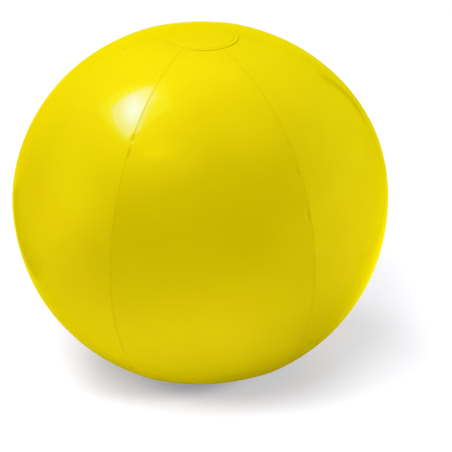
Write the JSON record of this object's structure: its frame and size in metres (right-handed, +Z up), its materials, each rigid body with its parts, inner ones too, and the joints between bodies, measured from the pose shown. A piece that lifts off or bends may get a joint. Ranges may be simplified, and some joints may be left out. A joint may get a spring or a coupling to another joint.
{
  "type": "beach ball",
  "caption": "Inflatable beach ball of welded film panels with end discs and a push-in valve with a tethered plug, resting on a flat foot.",
  "frame": {"origin": "centre of the flat patch that the ball rests on, under the bottom end disc", "axes": "+Z up along the line through both end discs, -Y towards the front panel that faces the camera, +X to the right"},
  "size_m": [0.2816, 0.278, 0.2667],
  "materials": {
    "film": "glossy, slightly translucent yellow soft PVC film",
    "valve": "satin, milky translucent soft moulded PVC",
    "flap": "clear soft PVC film"
  },
  "bodies": {
    "ball": {"gore_1": "film", "gore_2": "film", "gore_3": "film", "gore_4": "film", "gore_5": "film", "gore_6": "film", "top_disc": "film", "bottom_disc": "film", "valve_flange": "valve", "valve_sleeve": "valve"},
    "stem": {"valve_stem": "valve", "plug_strap": "valve"},
    "plug": {"valve_plug": "valve"},
    "flap": {"check_flap": "flap"}
  },
  "joints": [
    {"name": "valve_push", "type": "slide", "parent": "ball", "child": "stem", "axis": [-0.0457, 0.7172, 0.6954], "range_m": [0, 0.016], "deforming": ["valve_sleeve"]},
    {"name": "plug_swing", "type": "hinge", "parent": "stem", "child": "plug", "pos_m": [-0.00698, 0.10942, 0.22067], "axis": [-0.998, -0.0637, 0], "range_deg": [0, 140], "deforming": ["plug_strap"]},
    {"name": "check_flap_swing", "type": "hinge", "parent": "stem", "child": "flap", "pos_m": [-0.00575, 0.09007, 0.22072], "axis": [-0.998, -0.0637, 0], "range_deg": [0, 50], "stiffness_Nm_per_rad": 0.00001, "springref_deg": -20.05}
  ]
}
